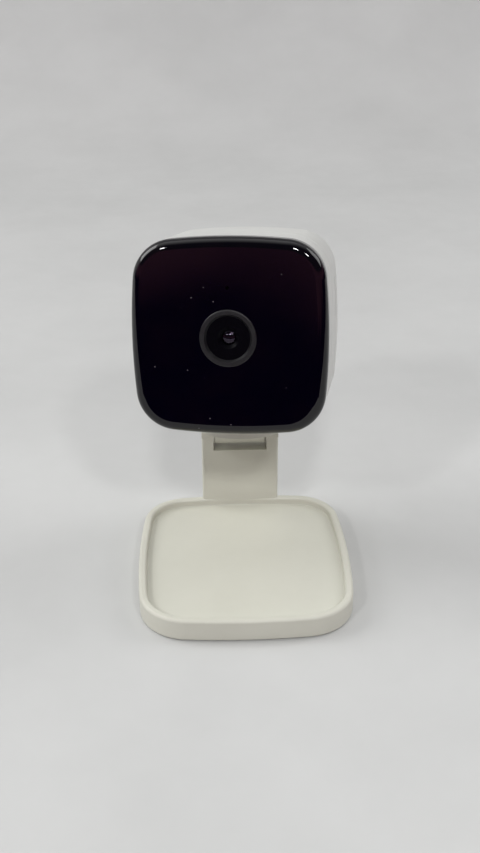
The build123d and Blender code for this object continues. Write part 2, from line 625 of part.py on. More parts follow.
def lens_barrel():
    flange_back = BARREL_FRONT + BARREL_FLANGE
    bore_back = BARREL_FRONT + FRONT_BORE_DEPTH
    body = depth_cylinder(BARREL_RADIUS, BARREL_FRONT, flange_back)
    body += depth_cylinder(BARREL_BODY_RADIUS, flange_back, BARREL_BACK)
    bowl = face_plane(BARREL_FRONT + BOWL_DEPTH) * Circle(FRONT_ELEMENT_RADIUS)
    body -= extrude(bowl, amount=BOWL_DEPTH + FIT_GAP, taper=-BOWL_FLARE)
    body -= depth_cylinder(FRONT_ELEMENT_RADIUS, BARREL_FRONT, bore_back)
    return body - depth_cylinder(REAR_ELEMENT_RADIUS, bore_back, BARREL_BACK)


def lens_front_element():
    front = BARREL_FRONT + FRONT_ELEMENT_RECESS
    glass = depth_cylinder(FRONT_ELEMENT_RADIUS, front, front + FRONT_ELEMENT_DEPTH)
    ball = Pos(0, front + FRONT_DOME_RADIUS, HEAD_HALF) * Sphere(FRONT_DOME_RADIUS)
    return glass & ball


def lens_rear_element():
    glass = depth_cylinder(REAR_ELEMENT_RADIUS, REAR_ELEMENT_FRONT, REAR_ELEMENT_BACK)
    return chamfer(glass.edges().group_by(Axis.Y)[-1], REAR_ELEMENT_CHAMFER)


def lens_holder():
    body = depth_box(HOLDER_SIZE, HOLDER_SIZE, HOLDER_FRONT, SENSOR_BOARD_FRONT)
    body += depth_cylinder(HOLDER_COLLAR_RADIUS, HOLDER_COLLAR_FRONT, HOLDER_FRONT)
    body -= depth_cylinder(BARREL_BODY_RADIUS, HOLDER_COLLAR_FRONT, BARREL_BACK)
    return body - depth_box(FILTER_SIZE, FILTER_SIZE, BARREL_BACK, SENSOR_BOARD_FRONT)


def ir_cut_filter():
    return depth_box(FILTER_SIZE, FILTER_SIZE, BARREL_BACK, BARREL_BACK + FILTER_THICKNESS)


def image_sensor():
    front = SENSOR_BOARD_FRONT - IMAGE_SENSOR_HEIGHT
    return depth_box(*IMAGE_SENSOR_SIZE, front, SENSOR_BOARD_FRONT)


def board_screw(seat, x, z, radius, length, toward_back=True):
    """Pan-head screw along Y whose head bears at depth seat."""
    step = 1 if toward_back else -1
    crown = seat - step * PAN_HEAD_HEIGHT
    screw = depth_cylinder(2 * radius, *sorted((crown, seat)), x, z)
    screw += depth_cylinder(radius, *sorted((seat, seat + step * length)), x, z)
    recess = crown - CROSS_DEPTH, crown + CROSS_DEPTH
    screw -= depth_box(2 * radius, CROSS_WIDTH, *recess, x, z)
    return screw - depth_box(CROSS_WIDTH, 2 * radius, *recess, x, z)


def sensor_board():
    board = depth_box(2 * SENSOR_BOARD_HALF, 2 * SENSOR_BOARD_HALF, SENSOR_BOARD_FRONT, SENSOR_BOARD_BACK)
    for x, z in four_corners(SENSOR_BOSS, SENSOR_BOSS):
        board -= depth_cylinder(SENSOR_SCREW_RADIUS, SENSOR_BOARD_FRONT, SENSOR_BOARD_BACK, x, z)
    return board


def sensor_board_screws():
    size = SENSOR_SCREW_RADIUS, SENSOR_SCREW_LENGTH
    corners = four_corners(SENSOR_BOSS, SENSOR_BOSS)
    return group([board_screw(SENSOR_BOARD_BACK, x, z, *size, toward_back=False) for x, z in corners])


# ---- parts behind the black cap ----
def led_board():
    board = head_slab(LED_BOARD_INSET, LED_BOARD_FRONT, LED_BOARD_BACK)
    board -= depth_cylinder(LED_BOARD_HOLE_RADIUS, LED_BOARD_FRONT, LED_BOARD_BACK)
    for x, z in four_corners(LED_BOSS, LED_BOSS):
        board -= depth_cylinder(LED_SCREW_RADIUS, LED_BOARD_FRONT, LED_BOARD_BACK, x, z)
    return board


def led_board_screws():
    size = LED_SCREW_RADIUS, LED_SCREW_LENGTH
    return group([board_screw(LED_BOARD_FRONT, x, z, *size) for x, z in four_corners(LED_BOSS, LED_BOSS)])


def infrared_leds():
    leds = []
    package_front = LED_BOARD_FRONT - LED_HEIGHT
    for place in PolarLocations(LED_RING_RADIUS, LED_COUNT):
        x, z = place.position.X, place.position.Y
        package = depth_box(LED_SIZE, LED_SIZE, package_front, LED_BOARD_FRONT, x, z)
        dome = depth_cylinder(LED_DOME_RADIUS, package_front - LED_DOME_HEIGHT, package_front, x, z)
        leds.append(package + dome)
    return group(leds)


def light_sensor():
    front = LED_BOARD_FRONT - LIGHT_SENSOR_HEIGHT
    return depth_box(*LIGHT_SENSOR_SIZE, front, LED_BOARD_FRONT, 0, -MIC_HEIGHT)


def microphone():
    return depth_box(*MIC_SIZE, LED_BOARD_FRONT - MIC_BODY_HEIGHT, LED_BOARD_FRONT, 0, MIC_HEIGHT)


def microphone_boot():
    front = HEAD_FRONT + HEAD_WALL
    boot = depth_cylinder(MIC_BOOT_RADIUS, front, LED_BOARD_FRONT - MIC_BODY_HEIGHT, 0, MIC_HEIGHT)
    return boot - depth_cylinder(MIC_HOLE_RADIUS, front, LED_BOARD_FRONT, 0, MIC_HEIGHT)


# ---- main board group ----
def main_board():
    board = depth_box(2 * MAIN_BOARD_HALF_X, MAIN_BOARD_HEIGHT, MAIN_BOARD_FRONT, MAIN_BOARD_BACK)
    for x, z in four_corners(MAIN_BOSS_X, MAIN_BOSS_Z):
        board -= depth_cylinder(MAIN_SCREW_RADIUS, MAIN_BOARD_FRONT, MAIN_BOARD_BACK, x, z)
    return board


def main_board_screws():
    size = MAIN_SCREW_RADIUS, MAIN_SCREW_LENGTH
    corners = four_corners(MAIN_BOSS_X, MAIN_BOSS_Z)
    return group([board_screw(MAIN_BOARD_FRONT, x, z, *size) for x, z in corners])


def processor():
    front = MAIN_BOARD_FRONT - PROCESSOR_HEIGHT
    return depth_box(PROCESSOR_SIZE, PROCESSOR_SIZE, front, MAIN_BOARD_FRONT, 0, CHIP_Z)


def shield_can():
    width, height = CAN_SIZE
    front = MAIN_BOARD_FRONT - CAN_HEIGHT
    can = depth_box(width, height, front, MAIN_BOARD_FRONT, 0, CHIP_Z)
    inner = width - 2 * CAN_WALL, height - 2 * CAN_WALL
    return can - depth_box(*inner, front + CAN_WALL, MAIN_BOARD_FRONT, 0, CHIP_Z)


def thermal_pad():
    back = MAIN_BOARD_FRONT - CAN_HEIGHT
    return depth_box(THERMAL_PAD_SIZE, THERMAL_PAD_SIZE, back - THERMAL_PAD_THICKNESS, back, 0, CHIP_Z)


def heat_sink():
    back = MAIN_BOARD_FRONT - CAN_HEIGHT - THERMAL_PAD_THICKNESS
    sink = depth_box(SINK_WIDTH, SINK_HEIGHT, back - SINK_BASE, back, 0, CHIP_Z)
    for i in range(FIN_COUNT):
        x = (i - (FIN_COUNT - 1) / 2) * FIN_PITCH
        sink += depth_box(FIN_THICKNESS, SINK_HEIGHT, back - SINK_DEPTH, back - SINK_BASE, x, CHIP_Z)
    return sink


def ribbon_connectors():
    """Flat-cable connectors on the two facing boards."""
    rear_front = MAIN_BOARD_FRONT - REAR_CONNECTOR_HEIGHT
    rear = depth_box(*CONNECTOR_SIZE, rear_front, MAIN_BOARD_FRONT, 0, RIBBON_Z)
    front_back = SENSOR_BOARD_BACK + FRONT_CONNECTOR_HEIGHT
    front = depth_box(*CONNECTOR_SIZE, SENSOR_BOARD_BACK, front_back, 0, RIBBON_Z)
    return group([rear, front])


def ribbon_cable():
    front = SENSOR_BOARD_BACK + FRONT_CONNECTOR_HEIGHT
    back = MAIN_BOARD_FRONT - REAR_CONNECTOR_HEIGHT
    return depth_box(RIBBON_WIDTH, RIBBON_THICKNESS, front, back, 0, RIBBON_Z)


def card_socket():
    x0, x1 = CARD_SOCKET_X
    z0, z1 = CARD_SLOT_Z - CARD_SOCKET_HALF, CARD_SLOT_Z + CARD_SOCKET_HALF
    shell = block(x0, x1, MAIN_BOARD_BACK, MAIN_BOARD_BACK + CARD_SOCKET_DEPTH, z0, z1)
    y0, y1 = CARD_SLOT_Y - CARD_HALF_THICKNESS, CARD_SLOT_Y + CARD_HALF_THICKNESS
    bay = block(x0 + CARD_SOCKET_WALL, x1 + OVERCUT, y0, y1, z0 + CARD_SOCKET_WALL, z1 - CARD_SOCKET_WALL)
    return shell - bay


def wifi_antenna():
    return block(-ANTENNA_HALF, ANTENNA_HALF, *ANTENNA_DEPTH, ANTENNA_BOTTOM, ANTENNA_TOP)


# ---- rear panel group ----
def on_io_board(x0, x1, y0, y1, height):
    """Box that stands on the rear panel board."""
    return block(x0, x1, y0, y1, IO_BOARD_TOP, IO_BOARD_TOP + height)


def io_board():
    back = REAR_INNER - IO_BOARD_MARGIN
    return block(-IO_BOARD_HALF, IO_BOARD_HALF, IO_BOARD_FRONT, back, IO_BOARD_BOTTOM, IO_BOARD_TOP)


def io_header():
    """Pin header between the main board and the rear panel board."""
    return on_io_board(-HEADER_HALF, HEADER_HALF, MAIN_BOARD_BACK, HEADER_BACK, HEADER_HEIGHT)


def usb_socket():
    shell = on_io_board(-USB_HALF, USB_HALF, USB_FRONT, USB_BACK, USB_SHELL_HEIGHT)
    shell = fillet(shell.edges().filter_by(Axis.Y), USB_SHELL_ROUNDING)
    inner_half = USB_HALF - USB_SHELL_WALL
    z0, z1 = IO_BOARD_TOP + USB_SHELL_WALL, IO_BOARD_TOP + USB_SHELL_HEIGHT - USB_SHELL_WALL
    mouth = block(-inner_half, inner_half, USB_CAVITY_FRONT, USB_BACK + OVERCUT, z0, z1)
    z0, z1 = (IO_BOARD_TOP + rise for rise in USB_TONGUE_RISE)
    tongue = block(-USB_TONGUE_HALF, USB_TONGUE_HALF, USB_CAVITY_FRONT, USB_TONGUE_BACK, z0, z1)
    return shell - mouth + tongue


def reset_switch():
    x0, x1 = RESET_X - SWITCH_HALF, RESET_X + SWITCH_HALF
    body = on_io_board(x0, x1, SWITCH_FRONT, SWITCH_BACK, SWITCH_HEIGHT)
    return body + depth_cylinder(PLUNGER_RADIUS, SWITCH_BACK, PLUNGER_BACK, RESET_X, USB_Z)


def reset_button():
    crown = depth_cylinder(RESET_RADIUS, RESET_FLANGE_BACK, HEAD_REAR + RESET_PROUD, RESET_X, USB_Z)
    crown = fillet(crown.edges().group_by(Axis.Y)[-1], RESET_ROUNDING)
    flange = depth_cylinder(RESET_FLANGE_RADIUS, RESET_FLANGE_FRONT, RESET_FLANGE_BACK, RESET_X, USB_Z)
    flange -= block(0, 2 * RESET_X, 0, REAR_INNER, 0, IO_BOARD_TOP + RESET_BOARD_GAP)
    stem = depth_cylinder(RESET_STEM_RADIUS, RESET_STEM_FRONT, RESET_FLANGE_FRONT, RESET_X, USB_Z)
    return crown + flange + stem


def status_led():
    x0, x1 = STATUS_X - STATUS_HALF, STATUS_X + STATUS_HALF
    return on_io_board(x0, x1, STATUS_FRONT, STATUS_BACK, STATUS_HEIGHT)


def light_pipe():
    return depth_cylinder(PIPE_RADIUS, STATUS_BACK, HEAD_REAR, STATUS_X, USB_Z)


def speaker():
    cup_radius = SPEAKER_RADIUS - SPEAKER_WALL
    cone_front = SPEAKER_FRONT + SPEAKER_FLOOR
    cone_back = cone_front + CONE_THICKNESS
    basket = depth_cylinder(SPEAKER_RADIUS, SPEAKER_FRONT, SPEAKER_BACK, 0, SPEAKER_Z)
    basket -= depth_cylinder(cup_radius, cone_front, SPEAKER_BACK, 0, SPEAKER_Z)
    cone = depth_cylinder(cup_radius, cone_front, cone_back, 0, SPEAKER_Z)
    dome = depth_cylinder(CONE_DOME_RADIUS, cone_back, cone_back + CONE_THICKNESS, 0, SPEAKER_Z)
    magnet = depth_cylinder(MAGNET_RADIUS, SPEAKER_FRONT - MAGNET_DEPTH, SPEAKER_FRONT, 0, SPEAKER_Z)
    return basket + cone + dome + magnet


def speaker_gasket():
    ring = depth_cylinder(SPEAKER_RADIUS, SPEAKER_BACK, REAR_INNER, 0, SPEAKER_Z)
    return ring - depth_cylinder(SPEAKER_RADIUS - GASKET_WIDTH, SPEAKER_BACK, REAR_INNER, 0, SPEAKER_Z)


def housing_screws():
    screws = []
    seat = HOUSING_FRONT + HOUSING_HEAD_HEIGHT
    recess_back = HOUSING_FRONT + HOUSING_CROSS_DEPTH
    length, width = HOUSING_CROSS_LENGTH, HOUSING_CROSS_WIDTH
    for x, z in four_corners(HOUSING_BOSS, HOUSING_BOSS):
        screw = depth_cylinder(HOUSING_HEAD_RADIUS, HOUSING_FRONT, seat, x, z)
        screw += depth_cylinder(HOUSING_SCREW_RADIUS, seat, HOUSING_SCREW_TIP, x, z)
        screw -= depth_box(length, width, HOUSING_FRONT, recess_back, x, z)
        screws.append(screw - depth_box(width, length, HOUSING_FRONT, recess_back, x, z))
    return group(screws)


STAND_PARTS = [base_tray, base_cover, foot_pad, ballast_plate, arm, arm_screws, hinge_pin,
               hinge_washers, hinge_caps]
NECK_PARTS = [swivel_bracket, swivel_washer, swivel_retainer, swivel_screw]
HEAD_PARTS = [front_cap, cap_tape, front_housing, rear_cover, lens_bezel, lens_barrel,
              lens_front_element, lens_rear_element, lens_holder, ir_cut_filter, image_sensor,
              sensor_board, sensor_board_screws, led_board, led_board_screws, infrared_leds,
              light_sensor, microphone, microphone_boot, main_board, main_board_screws, processor,
              shield_can, thermal_pad, heat_sink, ribbon_connectors, ribbon_cable, card_socket,
              wifi_antenna, io_board, io_header, usb_socket, reset_switch, reset_button, status_led,
              light_pipe, speaker, speaker_gasket, housing_screws]

for make in STAND_PARTS:
    save(make.__name__, make())
for make in NECK_PARTS:
    save(make.__name__, make(), NECK_FRAME)
for make in HEAD_PARTS:
    save(make.__name__, make(), HEAD_FRAME)
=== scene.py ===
import json
from math import cos, pi, sin

import bmesh
import bpy
from mathutils import Matrix, Vector

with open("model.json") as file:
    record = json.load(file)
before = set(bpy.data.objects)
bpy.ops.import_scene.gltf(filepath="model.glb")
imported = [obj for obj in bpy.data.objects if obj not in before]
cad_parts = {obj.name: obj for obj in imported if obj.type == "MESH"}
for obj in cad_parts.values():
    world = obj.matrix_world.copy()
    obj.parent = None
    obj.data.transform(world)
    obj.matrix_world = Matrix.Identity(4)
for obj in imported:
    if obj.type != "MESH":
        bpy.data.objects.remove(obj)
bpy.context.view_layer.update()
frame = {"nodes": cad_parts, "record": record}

# Metres, in the part's own frame: +Z up, the lens looks roughly along -Y, origin under the tray.
MM = 0.001

# ---- camera, as a point that it looks at, a distance and three angles in radians ----
AIM = Vector((-1.12, 0.0, 53.08)) * MM
AIM_DISTANCE = 324.04 * MM
LOOK_DOWN = 0.494
TURN = -0.035
BANK = 0.004
LENS = 45.6732          # focal length in millimetres
SENSOR = 36.0           # millimetres along the picture's long side
CLIP_START = 0.01
CLIP_END = 20.0


def make_camera():
    turn, look_down = Matrix.Rotation(TURN, 3, "Z"), Matrix.Rotation(-LOOK_DOWN, 3, "X")
    rotation = turn @ look_down @ Matrix.Rotation(BANK, 3, "Y")
    right, forward, up = (rotation.col[i] for i in range(3))
    data = bpy.data.cameras.new("camera")
    data.lens = LENS
    data.sensor_width = SENSOR
    data.clip_start = CLIP_START
    data.clip_end = CLIP_END
    camera = bpy.data.objects.new("camera", data)
    axes = Matrix((right, up, -forward)).transposed()
    camera.matrix_world = Matrix.Translation(AIM - forward * AIM_DISTANCE) @ axes.to_4x4()
    bpy.context.scene.collection.objects.link(camera)
    bpy.context.scene.camera = camera


# ---- lights ----
LIGHT_TARGET = Vector((0.0, 0.0, 0.05))
LAMP_SIZE = 0.16
PANEL_SIZE = 0.90


def area_light(name, place, size, watts):
    data = bpy.data.lights.new(name, "AREA")
    data.size = size
    data.energy = watts
    lamp = bpy.data.objects.new(name, data)
    lamp.location = place
    aim = LIGHT_TARGET - Vector(place)
    lamp.rotation_euler = aim.to_track_quat("-Z", "Y").to_euler()
    bpy.context.scene.collection.objects.link(lamp)


def make_lights():
    """Three lamps in front, which cast the shadows, and a large soft panel at each side."""
    area_light("front_left", (-1.05, -1.33, 1.32), LAMP_SIZE, 6.8)
    area_light("front_right", (0.48, -1.27, 1.32), LAMP_SIZE, 5.4)
    area_light("front_middle", (-0.06, -1.27, 1.32), LAMP_SIZE, 7.0)
    area_light("left_panel", (-1.30, 0.30, 1.05), PANEL_SIZE, 10.5)
    area_light("right_panel", (1.30, 0.30, 1.05), PANEL_SIZE, 7.4)


# ---- surroundings ----
SKY_TOWARDS = Vector((-0.20, 0.80, 0.57)).normalized()
SKY_DARK_BELOW = 0.15
SKY_BRIGHT_ABOVE = 0.90
SKY_STRENGTH = 1.62
SKY_BRIGHT = (0.80, 0.80, 0.80, 1)
SKY_BEHIND_OBJECT = (0.33, 0.33, 0.33, 1)
CLOUD_SCALE = 5.0
CLOUD_LIFT = 0.22
FRONT_LOW = (0.004, 0.002, 0.020, 1)
FRONT_TINT = (0.150, 0.060, 0.092, 1)
FRONT_HIGH = (0.030, 0.030, 0.032, 1)
FRONT_STOPS = ((0.16, FRONT_LOW), (0.26, FRONT_TINT), (0.36, FRONT_TINT), (0.46, FRONT_HIGH))


def sky_share(nodes, links, direction):
    """How far each direction belongs to the bright sky, from 0 to 1."""
    towards = nodes.new("ShaderNodeVectorMath")
    towards.operation = "DOT_PRODUCT"
    towards.inputs[1].default_value = SKY_TOWARDS
    links.new(direction, towards.inputs[0])
    share = nodes.new("ShaderNodeMapRange")
    share.interpolation_type = "SMOOTHSTEP"
    share.inputs["From Min"].default_value = SKY_DARK_BELOW
    share.inputs["From Max"].default_value = SKY_BRIGHT_ABOVE
    links.new(towards.outputs["Value"], share.inputs["Value"])
    return share.outputs["Result"]


def dim_front(nodes, links, direction):
    """Dim tinted band of the dark side, with an uneven height."""
    height = nodes.new("ShaderNodeSeparateXYZ")
    links.new(direction, height.inputs[0])
    cloud = nodes.new("ShaderNodeTexNoise")
    cloud.inputs["Scale"].default_value = CLOUD_SCALE
    cloud.inputs["Detail"].default_value = 1.0
    links.new(direction, cloud.inputs["Vector"])
    lifted = nodes.new("ShaderNodeMath")
    lifted.operation = "MULTIPLY_ADD"
    lifted.inputs[1].default_value = CLOUD_LIFT
    links.new(cloud.outputs["Fac"], lifted.inputs[0])
    links.new(height.outputs["Z"], lifted.inputs[2])
    ramp = nodes.new("ShaderNodeValToRGB")
    ramp.color_ramp.interpolation = "EASE"
    stops = ramp.color_ramp.elements
    while len(stops) < len(FRONT_STOPS):
        stops.new(1.0)
    for stop, (position, colour) in zip(stops, FRONT_STOPS):
        stop.position = position
        stop.color = colour
    links.new(lifted.outputs[0], ramp.inputs["Fac"])
    return ramp.outputs["Color"]


def mix_colours(nodes, links, factor, first):
    """Colour mix whose second colour is set by the caller."""
    mix = nodes.new("ShaderNodeMix")
    mix.data_type = "RGBA"
    links.new(factor, mix.inputs["Factor"])
    links.new(first, mix.inputs["A"])
    return mix


def make_world():
    """A studio that is bright overhead and behind, and dark towards the front."""
    world = bpy.data.worlds.new("studio")
    bpy.context.scene.world = world
    world.use_nodes = True
    nodes, links = world.node_tree.nodes, world.node_tree.links
    direction = nodes.new("ShaderNodeTexCoord").outputs["Generated"]
    share = sky_share(nodes, links, direction)
    sky = mix_colours(nodes, links, share, dim_front(nodes, links, direction))
    sky.inputs["B"].default_value = SKY_BRIGHT
    seen_by_camera = nodes.new("ShaderNodeLightPath").outputs["Is Camera Ray"]
    shown = mix_colours(nodes, links, seen_by_camera, sky.outputs["Result"])
    shown.inputs["B"].default_value = SKY_BEHIND_OBJECT
    background = nodes["Background"]
    links.new(shown.outputs["Result"], background.inputs["Color"])
    background.inputs["Strength"].default_value = SKY_STRENGTH


# ---- floor ----
FLOOR_FRONT = -0.90
FLOOR_FLAT_END = 0.15   # the sheet's smoothed shading is level up to here
FLOOR_BEND = 0.46
BEND_RADIUS = 0.35
BEND_STEPS = 24
WALL_TOP = 1.6
FLOOR_HALF_WIDTH = 1.6


def make_floor(material):
    """Pale sheet that runs back and curves up behind the object."""
    profile = [(FLOOR_FRONT, 0.0), (FLOOR_FLAT_END, 0.0), (FLOOR_BEND, 0.0)]
    for i in range(1, BEND_STEPS + 1):
        angle = pi / 2 * i / BEND_STEPS
        profile.append((FLOOR_BEND + BEND_RADIUS * sin(angle), BEND_RADIUS * (1 - cos(angle))))
    profile.append((FLOOR_BEND + BEND_RADIUS, WALL_TOP))
    mesh = bpy.data.meshes.new("floor")
    build = bmesh.new()
    rows = [[build.verts.new((x, y, z)) for x in (-FLOOR_HALF_WIDTH, FLOOR_HALF_WIDTH)] for y, z in profile]
    for near, far in zip(rows, rows[1:]):
        build.faces.new((near[0], near[1], far[1], far[0])).smooth = True
    build.to_mesh(mesh)
    build.free()
    floor = bpy.data.objects.new("floor", mesh)
    bpy.context.scene.collection.objects.link(floor)
    mesh.materials.append(material)


# ---- material helpers ----
WIDE = 0.30, 0.70       # the part of a noise's range that most of its values lie in
NARROW = 0.35, 0.65
SPECK_STEP = 0.01
SPECK_EDGE = 0.03


class Finish:
    """A node-based material, with short calls for the textures that its channels share."""

    def __init__(self, name, **constants):
        self.material = bpy.data.materials.new(name)
        self.material.use_nodes = True
        self.nodes = self.material.node_tree.nodes
        self.links = self.material.node_tree.links
        self.shader = self.nodes["Principled BSDF"]
        self.place = self.nodes.new("ShaderNodeTexCoord").outputs["Object"]
        for socket, value in constants.items():
            self.shader.inputs[socket.replace("_", " ")].default_value = value

    def stretched(self, x, y, z):
        mapping = self.nodes.new("ShaderNodeMapping")
        mapping.inputs["Scale"].default_value = (x, y, z)
        self.links.new(self.place, mapping.inputs["Vector"])
        return mapping.outputs["Vector"]

    def noise(self, size, detail=3.0, roughness=0.5, place=None):
        """Soft noise whose features are about size metres across."""
        texture = self.nodes.new("ShaderNodeTexNoise")
        texture.inputs["Scale"].default_value = 1.0 / size
        texture.inputs["Detail"].default_value = detail
        texture.inputs["Roughness"].default_value = roughness
        self.links.new(place or self.place, texture.inputs["Vector"])
        return texture.outputs["Fac"]

    def cells(self, size, output="Distance", randomness=1.0):
        texture = self.nodes.new("ShaderNodeTexVoronoi")
        texture.inputs["Scale"].default_value = 1.0 / size
        texture.inputs["Randomness"].default_value = randomness
        self.links.new(self.place, texture.inputs["Vector"])
        return texture.outputs[output]

    def scaled(self, value, low, high, out_low=0.0, out_high=1.0):
        node = self.nodes.new("ShaderNodeMapRange")
        node.inputs["From Min"].default_value = low
        node.inputs["From Max"].default_value = high
        node.inputs["To Min"].default_value = out_low
        node.inputs["To Max"].default_value = out_high
        self.links.new(value, node.inputs["Value"])
        return node.outputs["Result"]

    def combined(self, operation, a, b):
        node = self.nodes.new("ShaderNodeMath")
        node.operation = operation
        for socket, value in zip(node.inputs, (a, b)):
            if isinstance(value, float):
                socket.default_value = value
            else:
                self.links.new(value, socket)
        return node.outputs[0]

    def mixed(self, factor, a, b):
        node = self.nodes.new("ShaderNodeMix")
        node.data_type = "RGBA"
        self.links.new(factor, node.inputs["Factor"])
        for socket, value in ((node.inputs["A"], a), (node.inputs["B"], b)):
            if isinstance(value, tuple):
                socket.default_value = (*value, 1.0)
            else:
                self.links.new(value, socket)
        return node.outputs["Result"]

    def specks(self, size, rarity, radius):
        """Small round dots, at most one in a cell of this size and missing from most cells."""
        rare = self.scaled(self.cells(size, "Color"), rarity, rarity + SPECK_STEP)
        close = self.scaled(self.cells(size), radius, radius + SPECK_EDGE, 1.0, 0.0)
        return self.combined("MULTIPLY", rare, close)

    def bump(self, height, depth, strength):
        node = self.nodes.new("ShaderNodeBump")
        node.inputs["Distance"].default_value = depth
        node.inputs["Strength"].default_value = strength
        self.links.new(height, node.inputs["Height"])
        self.links.new(node.outputs["Normal"], self.shader.inputs["Normal"])

    def colour(self, value):
        self.links.new(value, self.shader.inputs["Base Color"])

    def colour_between(self, value, span, low, high):
        """Base colour that runs from low to high while value crosses span."""
        self.colour(self.mixed(self.scaled(value, *span), low, high))

    def roughness(self, value):
        self.links.new(value, self.shader.inputs["Roughness"])

    def roughness_between(self, value, span, low, high):
        self.roughness(self.scaled(value, *span, low, high))


def moulded_plastic(name, light, dark, rough, grain, grain_depth):
    """Injection-moulded plastic: faint flow marks in the colour, fine spark grain, uneven sheen."""
    f = Finish(name)
    flow = f.noise(22 * MM, detail=4.0, roughness=0.6)
    f.colour_between(flow, NARROW, dark, light)
    handling = f.noise(4 * MM, detail=5.0, roughness=0.65)
    f.roughness_between(handling, WIDE, rough - 0.05, rough + 0.06)
    f.bump(f.noise(grain, detail=2.0), grain_depth, strength=0.6)
    return f.material


def gloss_black():
    """Dark infrared-passing plastic with a polished face, faint smears and a little dust."""
    f = Finish("black_gloss", IOR=1.49)
    smear = f.noise(9 * MM, detail=6.0, roughness=0.62)
    cold_black, warm_black, dust = (0.0007, 0.0004, 0.0022), (0.0020, 0.0008, 0.0024), (0.33, 0.32, 0.32)
    deep = f.mixed(f.scaled(smear, 0.42, 0.72), cold_black, warm_black)
    speck = f.specks(1.6 * MM, rarity=0.79, radius=0.055)
    f.colour(f.mixed(speck, deep, dust))
    film = f.scaled(smear, 0.35, 0.75, 0.025, 0.055)
    f.roughness(f.combined("ADD", film, f.combined("MULTIPLY", speck, 0.5)))
    f.bump(f.noise(14 * MM, detail=1.0), 0.02 * MM, strength=0.35)
    return f.material


def satin_metal(name, tone, rough):
    """Drawn or turned metal with fine lines and slightly uneven oxide."""
    f = Finish(name, Metallic=1.0)
    lines = f.noise(0.25 * MM, detail=2.0, place=f.stretched(0.08, 1.0, 1.0))
    cloud = f.noise(3 * MM, detail=4.0)
    oxide = tuple(0.82 * channel for channel in tone)
    f.colour_between(cloud, WIDE, oxide, tone)
    f.roughness_between(lines, WIDE, rough - 0.06, rough + 0.08)
    f.bump(lines, 0.01 * MM, strength=0.3)
    return f.material


def dark_bezel():
    """Satin dark metal ring with a little dust caught on it."""
    f = Finish("dark_metal", IOR=1.5)
    darker, lighter, dust = (0.0050, 0.0050, 0.0064), (0.0078, 0.0078, 0.0094), (0.22, 0.22, 0.21)
    tone = f.mixed(f.scaled(f.noise(2.5 * MM, detail=4.0), *WIDE), darker, lighter)
    f.colour(f.mixed(f.specks(0.9 * MM, rarity=0.86, radius=0.05), tone, dust))
    f.roughness_between(f.noise(0.8 * MM, detail=3.0), WIDE, 0.32, 0.44)
    f.bump(f.noise(0.12 * MM, detail=2.0), 0.006 * MM, strength=0.5)
    return f.material


def lens_black():
    """Blackened surface inside the lens, matt so that it adds no glare, with a fine grain."""
    f = Finish("lens_black", Specular_IOR_Level=0.06)
    darker, lighter = (0.0006, 0.0004, 0.0016), (0.0011, 0.0008, 0.0024)
    f.colour_between(f.noise(1.5 * MM, detail=3.0), WIDE, darker, lighter)
    f.roughness_between(f.noise(0.5 * MM), WIDE, 0.30, 0.38)
    f.bump(f.noise(0.1 * MM, detail=2.0), 0.005 * MM, strength=0.5)
    return f.material


def lens_glass():
    """Coated glass whose colour is set near black so that the lens reads dark: painted shade of the lens
    interior, with a faint violet and green tint.
    """
    coating = (0.85, 0.70, 1.0, 1.0)
    f = Finish("lens_glass", Transmission_Weight=0.92, IOR=1.5, Specular_IOR_Level=0.30,
               Specular_Tint=coating)
    # violet and green: glass colour kept near black so the lens interior reads dark, painted shade
    violet, green = (0.010, 0.008, 0.016), (0.009, 0.011, 0.013)
    f.colour_between(f.noise(3 * MM, detail=1.0), NARROW, violet, green)
    f.roughness_between(f.noise(1.2 * MM, detail=3.0), WIDE, 0.01, 0.03)
    return f.material


def filter_glass():
    """Blue-green glass that holds back infrared."""
    f = Finish("filter_glass", Transmission_Weight=0.9, IOR=1.52)
    blue_green, green = (0.35, 0.62, 0.66), (0.42, 0.70, 0.68)
    f.colour_between(f.noise(4 * MM), NARROW, blue_green, green)
    f.roughness_between(f.noise(1 * MM), WIDE, 0.01, 0.04)
    return f.material


def clear_resin():
    """Slightly cloudy moulded resin."""
    f = Finish("clear_resin", Transmission_Weight=0.75, IOR=1.52)
    cloudy, clear = (0.82, 0.83, 0.80), (0.92, 0.92, 0.90)
    f.colour_between(f.noise(2 * MM), NARROW, cloudy, clear)
    f.roughness_between(f.noise(0.6 * MM), WIDE, 0.12, 0.25)
    return f.material


def rubber():
    """Matt moulded rubber with a pebbled skin and patches of pale dust."""
    f = Finish("black_rubber", Specular_IOR_Level=0.3)
    clean, dusty = (0.010, 0.010, 0.010), (0.030, 0.029, 0.028)
    dust_span = 0.5, 0.8
    f.colour_between(f.noise(6 * MM, detail=5.0, roughness=0.7), dust_span, clean, dusty)
    f.roughness_between(f.noise(2 * MM), WIDE, 0.72, 0.88)
    f.bump(f.cells(0.7 * MM), 0.06 * MM, strength=0.5)
    return f.material


def foam():
    """Dark open foam whose pores show in colour, sheen and relief."""
    f = Finish("foam", Specular_IOR_Level=0.2)
    pores = f.cells(0.35 * MM)
    pore, rib = (0.030, 0.030, 0.032), (0.095, 0.095, 0.098)
    colour_span, roughness_span = (0.1, 0.6), (0.0, 0.7)
    f.colour_between(pores, colour_span, pore, rib)
    f.roughness_between(pores, roughness_span, 0.85, 0.98)
    f.bump(pores, 0.08 * MM, strength=0.8)
    return f.material


